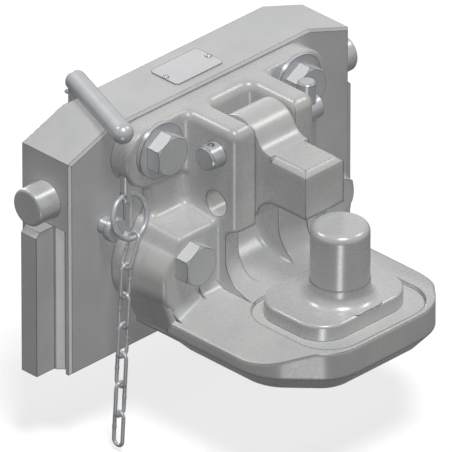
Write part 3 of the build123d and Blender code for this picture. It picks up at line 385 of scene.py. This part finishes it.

# %% [markdown]
# The imported record names a material slot for every piece. Each slot has one finish here.

# %% Materials
# the third colour of each finish is its dark edge line: painted shade in the corners, worn paint
# on the outer edges
finishes = {
    # satin enamel over a machined plate: even, faintly mottled, with fine spray texture
    "plate_paint": finish(
        "satin enamel on machined plate", "#BABAB9", "#B1B2B3", "#2E2E2D", 0.30,
        grain=1.6, depth=0.002, soft=0.6),
    # the same enamel over sand-cast steel: the sand's grain shows through the paint
    "cast_paint": finish(
        "satin enamel on sand-cast steel", "#BABAB8", "#AFB0B1", "#2E2E2D", 0.28,
        grain=2.4, depth=0.006, soft=4.0, line=1.0, specular=0.6),
    # hardened and ground steel: bright, with fine rings from the wheel
    "ground_steel": finish(
        "ground steel", "#BBBBBA", "#B2B3B4", "#2A2A2A", 0.28,
        metal=0.1, grain=0.9, depth=0.0003, stretch=(0.3, 0.3, 1), soft=1.0, specular=0.6),
    # zinc flake on bolts: a dull grey baked coat
    "bolt_steel": finish(
        "zinc flake on bolt steel", "#BDBEBF", "#B2B3B5", "#2A2A2B", 0.38,
        metal=0.15, grain=1.1, depth=0.012),
    # bright zinc plating: smooth, slightly cool
    "zinc_steel": finish(
        "zinc plating", "#B4B6B9", "#A9ABAE", "#2A2C30", 0.32,
        metal=0.25, grain=1.4, depth=0.006),
    # bare rolled aluminium, brushed along its length
    "plain_plate": finish(
        "brushed aluminium", "#C6C6C7", "#BCBDBF", "#303135", 0.36,
        metal=0.2, grain=0.9, depth=0.008, stretch=(0.08, 1, 1)),
    # oil-soaked sintered bronze: a warm brown, mostly hidden in the plate
    "bronze": finish(
        "sintered bronze", "#A08A5E", "#8C774E", "#3A3020", 0.50,
        metal=0.8, grain=0.9, depth=0.01),
}
slots = {row["node"]: row["material_slot"] for row in frame["record"]["subparts"]}
for name, node in nodes.items():
    node.data.materials.clear()
    node.data.materials.append(finishes[slots[name]])
print("finishes:", len(finishes), "pieces with a finish:", len(slots))

# %% [markdown]
# ## Welds and a thread
# The small things that a solid model leaves out are all round bars that follow a path: a weld
# bead lies behind the lever arm where the handle rod meets it, each chain link is closed by a
# butt weld that stands out a little, and the lever's nut sits on a thread whose end shows.
# One function draws a closed tube through a list of points with a radius for each, so a bead
# gets its ripples from the radii and a thread is a thin tube wound along a helix.

# %% Tube function
BAR_SIDES = 10


def tube(name, body, look_slot, points, radii, sides=BAR_SIDES):
    """Closed round bar through the points, riding on a body."""
    rings = []
    side = None
    last = len(points) - 1
    turns = [2 * math.pi * k / sides for k in range(sides)]
    for i, point in enumerate(points):
        ahead = (points[min(i + 1, last)] - points[max(i - 1, 0)]).normalized()
        side = ahead.orthogonal() if side is None else side - side.dot(ahead) * ahead
        side.normalize()
        up = ahead.cross(side)
        rings.append([point + radii[i] * (math.cos(t) * side + math.sin(t) * up) for t in turns])
    made = mesh_from(name, skin(rings))
    made.shade_smooth()
    made.materials.append(finishes[look_slot])
    piece = add_object(name, made)
    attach(piece, body)


print("sides of a round bar:", BAR_SIDES)

# %% [markdown]
# The bead is laid on the far side of the arm, where the rod's end stands in it. It lies below
# the rod, over somewhat less than a third of its round. The rod leans sideways, so its cut by
# the arm's face is an ellipse.

# %% Weld between the handle rod and the lever arm
ROD_RADIUS = 8.3 * MM
ROD_SKEW = math.radians(21)
BEAD_RADIUS = 1.7 * MM
BEAD_SUNK = 0.5
BEAD_STEPS = 60
BEAD_START = 215
BEAD_SWEEP = 110
BEAD_END = 0.35
BEAD_TAPER = 8
RIPPLE = 0.1
RIPPLE_TURN = 2.1

rod_low, rod_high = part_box("handle_rod")
arm_low, arm_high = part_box("lever_arm")
rod_end = Vector((
    rod_high.x - ROD_RADIUS * math.cos(ROD_SKEW), rod_high.y, rod_high.z - ROD_RADIUS))
bead_y = arm_high.y + BEAD_SUNK * BEAD_RADIUS
rod_x = rod_end.x - (rod_high.y - bead_y) * math.tan(ROD_SKEW)
reach = ROD_RADIUS + BEAD_SUNK * BEAD_RADIUS
path = []
sizes = []
for i in range(BEAD_STEPS + 1):
    part = i / BEAD_STEPS
    turn = math.radians(BEAD_START + BEAD_SWEEP * part)
    bead_x = rod_x + reach / math.cos(ROD_SKEW) * math.cos(turn)
    path.append(Vector((bead_x, bead_y, rod_end.z + reach * math.sin(turn))))
    ends = min(1.0, BEAD_TAPER * part + BEAD_END, BEAD_TAPER * (1 - part) + BEAD_END)
    sizes.append(BEAD_RADIUS * ends * (1 + RIPPLE * math.sin(i * RIPPLE_TURN)))
tube("rod_weld", "lever", "cast_paint", path, sizes)
bead_length = sum((b - a).length for a, b in zip(path, path[1:]))
print("weld bead length in mm:", round(bead_length / MM, 1))

# %% [markdown]
# A chain link is bent from wire and closed by a butt weld in the middle of one straight side,
# which leaves a low swelling. The six lower links are one CAD piece, so they are told apart by
# following their mesh from point to point. Their lean is that of the hanging chain.

# %% Butt welds of the chain links
LINK_HALF = 4.5 * MM
WIRE_RADIUS = 1.5 * MM
WELD_HALF = 2.2 * MM
WELD_SHAPE = ((-1.0, 0.9), (-0.6, 1.12), (-0.2, 1.22), (0.2, 1.22), (0.6, 1.12), (1.0, 0.9))
CHAINS = (("top_link", "upper_chain", 23), ("chain_links", "lower_chain", 3.5))
SAME_POINT = MM / 100


def loose_boxes(name):
    """Lowest and highest corners of each loose part of a CAD piece, highest part first."""
    shape = bmesh.new()
    shape.from_mesh(nodes[name].data)
    bmesh.ops.remove_doubles(shape, verts=shape.verts, dist=SAME_POINT)
    left = set(shape.verts)
    found = []
    while left:
        waiting = [left.pop()]
        part = []
        while waiting:
            vertex = waiting.pop()
            part.append(vertex.co.copy())
            near = {edge.other_vert(vertex) for edge in vertex.link_edges} & left
            left -= near
            waiting.extend(near)
        corners = [[pick(place[i] for place in part) for i in range(3)] for pick in (min, max)]
        found.append((Vector(corners[0]), Vector(corners[1])))
    found.sort(key=lambda pair: -pair[0].z)
    shape.free()
    return found


welds = 0
for name, body, lean_degrees in CHAINS:
    lean = math.radians(lean_degrees)
    along = Vector((-math.sin(lean), 0, -math.cos(lean)))
    for low, high in loose_boxes(name):
        turned = high.y - low.y > 2 * LINK_HALF
        aside = Vector((0, 1, 0)) if turned else Vector((math.cos(lean), 0, -math.sin(lean)))
        middle = (low + high) / 2 + LINK_HALF * aside
        path = [middle + step * WELD_HALF * along for step, _ in WELD_SHAPE]
        sizes = [share * WIRE_RADIUS for _, share in WELD_SHAPE]
        welds += 1
        tube(f"link_weld_{welds}", body, "zinc_steel", path, sizes)
print("link welds:", welds)

# %% [markdown]
# The lever's nut leaves a little thread showing behind the cover. It is a thin tube along a
# helix, sunk for half its thickness in the plain shaft of the CAD model.

# %% Thread on the lever's shaft
THREAD_RADIUS = 6 * MM
THREAD_PITCH = 1.25 * MM
THREAD_STEPS = 36
THREAD_SIDES = 6
THREAD_RIDGE = 0.24
THREAD_STOP = 0.4 * MM

nut_low, nut_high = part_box("lever_nut")
shaft_low, shaft_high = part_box("pinion_shaft")
start = Vector((0, nut_high.y, (nut_low.z + nut_high.z) / 2))
length = shaft_high.y - nut_high.y - THREAD_STOP
axis = Vector((0, 1, 0))
across = axis.orthogonal().normalized()
third = axis.cross(across)
path = []
for i in range(int(length / THREAD_PITCH * THREAD_STEPS) + 1):
    turn = 2 * math.pi * i / THREAD_STEPS
    out = THREAD_RADIUS * (math.cos(turn) * across + math.sin(turn) * third)
    path.append(start + out + axis * (THREAD_PITCH * i / THREAD_STEPS))
sizes = [THREAD_RIDGE * THREAD_PITCH] * len(path)
tube("shaft_thread", "lever", "zinc_steel", path, sizes, sides=THREAD_SIDES)
print("thread turns:", round(length / THREAD_PITCH, 1))

# %% [markdown]
# ## The rounded rim of the slot
# A founder never leaves a sharp rim on an opening that sees the sand and the grinder: the slot
# between the ears rolls over into its walls in a wide round. The solid model has it sharp. Here
# a copy of the casting loses that corner to a cutter, which is the shape between a sharp corner
# and a round one, drawn along the slot's outline. It runs out over the front of the ears, so
# the round fades where their tops curve down. The copy then stands for the CAD piece.

# %% Cutter along the slot's rim
SLOT_HALF = 21 * MM
SLOT_BACK = -45 * MM
SLOT_ROUND = 6 * MM
RIM_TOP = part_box("hook_body")[1].z
RIM_RADIUS = 7.5 * MM
RIM_STEPS = 10
CUT_FRONT = -110 * MM
CUT_MARGIN = 3 * MM
CUT_OVERLAP = CUT_MARGIN / 5
GRAZE = 0.02 * MM

outline = [(Vector((-SLOT_HALF, CUT_FRONT, RIM_TOP)), Vector((-1, 0, 0)))]
for hand, first in ((-1, 180), (1, 90)):
    centre = Vector((hand * (SLOT_HALF - SLOT_ROUND), SLOT_BACK - SLOT_ROUND, RIM_TOP))
    for i in range(RIM_STEPS + 1):
        turn = math.radians(first - 90 * i / RIM_STEPS)
        out = Vector((math.cos(turn), math.sin(turn), 0))
        outline.append((centre + SLOT_ROUND * out, out))
outline.append((Vector((SLOT_HALF, CUT_FRONT, RIM_TOP)), Vector((1, 0, 0))))

section = [(RIM_RADIUS + CUT_OVERLAP, CUT_MARGIN), (RIM_RADIUS + CUT_OVERLAP, GRAZE)]
for i in range(RIM_STEPS + 1):
    turn = math.radians(90 + 90 * i / RIM_STEPS)
    away = RIM_RADIUS * (1 + math.cos(turn)) + GRAZE
    section.append((away, RIM_RADIUS * (math.sin(turn) - 1) - GRAZE))
section += [
    (-GRAZE, -RIM_RADIUS - CUT_OVERLAP),
    (-CUT_MARGIN, -RIM_RADIUS - CUT_OVERLAP),
    (-CUT_MARGIN, CUT_MARGIN),
]
rings = [
    [place + away * out + Vector((0, 0, up)) for away, up in section] for place, out in outline
]
print("cutter sections:", len(rings))

# %% [markdown]
# The carved copy has lost the normals that the solid model gave its curved faces, so it gets new
# ones: sharp where faces meet at more than 24 degrees, and weighted by area elsewhere, which
# keeps flat faces flat beside a round.

# %% Carving function
CARVED_SHARP = math.radians(24)


def carve(name, node, look_slot, cutter_shape):
    """A copy of a CAD piece less the cutter, which then stands for that piece."""
    bmesh.ops.recalc_face_normals(cutter_shape, faces=cutter_shape.faces)
    cutter = add_object("cutter", mesh_from("cutter", cutter_shape))
    copy = nodes[node].data.copy()
    if "custom_normal" in copy.attributes:
        copy.attributes.remove(copy.attributes["custom_normal"])
    joined = bmesh.new()
    joined.from_mesh(copy)
    bmesh.ops.remove_doubles(joined, verts=joined.verts, dist=SAME_POINT / 2)
    joined.to_mesh(copy)
    joined.free()
    piece = add_object(name, copy)
    cut = piece.modifiers.new("cut", "BOOLEAN")
    cut.operation = "DIFFERENCE"
    cut.solver = "EXACT"
    cut.object = cutter
    bpy.context.view_layer.update()
    shown = piece.evaluated_get(bpy.context.evaluated_depsgraph_get())
    carved = bpy.data.meshes.new_from_object(shown)
    piece.modifiers.clear()
    piece.data = carved
    bpy.data.objects.remove(cutter)
    carved.materials.clear()
    carved.materials.append(finishes[look_slot])
    carved.shade_smooth()
    carved.set_sharp_from_angle(angle=CARVED_SHARP)
    weights = piece.modifiers.new("flat faces stay flat", "WEIGHTED_NORMAL")
    weights.keep_sharp = True
    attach(piece, "hitch")
    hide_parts(node)
    counted = bmesh.new()
    counted.from_mesh(carved)
    loose = sum(len(edge.link_faces) != 2 for edge in counted.edges)
    print(name, "faces:", len(counted.faces), "open edges:", loose, "cm3:", volume(counted))
    counted.free()


carve("hook_casting", "hook_body", "cast_paint", skin(rings))

# %% [markdown]
# The flare at the piton's root is turned round the pin and reaches a little past the flat front
# of its flange. A milled flat cuts both off in one plane, as in the reference.

# %% Milled front of the piton's flange
FLAT_FRONT = -192.05 * MM
FLAT_LOW = 52 * MM
FLAT_HIGH = 80 * MM

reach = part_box("piton")[1].x
shape = bmesh.new()
corners = [
    shape.verts.new((x, y, z))
    for x in (-reach, reach)
    for y in (FLAT_FRONT - CUT_MARGIN, FLAT_FRONT)
    for z in (FLAT_LOW, FLAT_HIGH)
]
bmesh.ops.convex_hull(shape, input=corners)
carve("milled_piton", "piton", "ground_steel", shape)

# %% [markdown]
# ## The skirts under the lower lugs
# On the reference the outer side of each lower lug runs down to the foot of the nose in one
# drawn face, so that the load of the nose goes into the bolts without a notch. Such a face is
# ruled between two outlines. Here it is the hull of the lug's lower quarter circle, at the plate
# and near the front, the back edge of the nose's side and the foot of the block behind it.

# %% Skirts
LUG_X = 72.5 * MM
LUG_Z = 72 * MM
LUG_RADIUS = 27 * MM
SKIRT_BACK = -25.2 * MM
SKIRT_FRONT = -72 * MM
SKIRT_STEPS = 12
SKIRT_FLAT = math.radians(1)
SKIRT_SHARP = math.radians(40)
NOSE_BACK = -76.5 * MM
NOSE_SIDE = 91.5 * MM
NOSE_EDGE = (36 * MM, 53 * MM)
FOOT_Z = 21 * MM
FOOT = ((SKIRT_BACK, 77 * MM), (NOSE_BACK, 74 * MM))

for hand, word in ((-1, "left"), (1, "right")):
    shape = bmesh.new()
    for y in (SKIRT_BACK, SKIRT_FRONT):
        for i in range(SKIRT_STEPS + 1):
            turn = math.radians(90 * i / SKIRT_STEPS)
            x = LUG_X + LUG_RADIUS * math.cos(turn)
            shape.verts.new((hand * x, y, LUG_Z - LUG_RADIUS * math.sin(turn)))
    for z in NOSE_EDGE:
        shape.verts.new((hand * NOSE_SIDE, NOSE_BACK, z))
    for y, x in FOOT:
        shape.verts.new((hand * x, y, FOOT_Z))
    hull = bmesh.ops.convex_hull(shape, input=shape.verts)
    bmesh.ops.delete(shape, geom=hull["geom_interior"], context="VERTS")
    bmesh.ops.dissolve_limit(
        shape, angle_limit=SKIRT_FLAT, verts=shape.verts, edges=shape.edges)
    bmesh.ops.recalc_face_normals(shape, faces=shape.faces)
    print(word, "skirt faces:", len(shape.faces), "cm3:", volume(shape))
    made = mesh_from(word + "_skirt", shape)
    made.shade_smooth()
    made.set_sharp_from_angle(angle=SKIRT_SHARP)
    made.materials.append(finishes["cast_paint"])
    skirt = add_object(word + "_skirt", made)
    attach(skirt, "hitch")
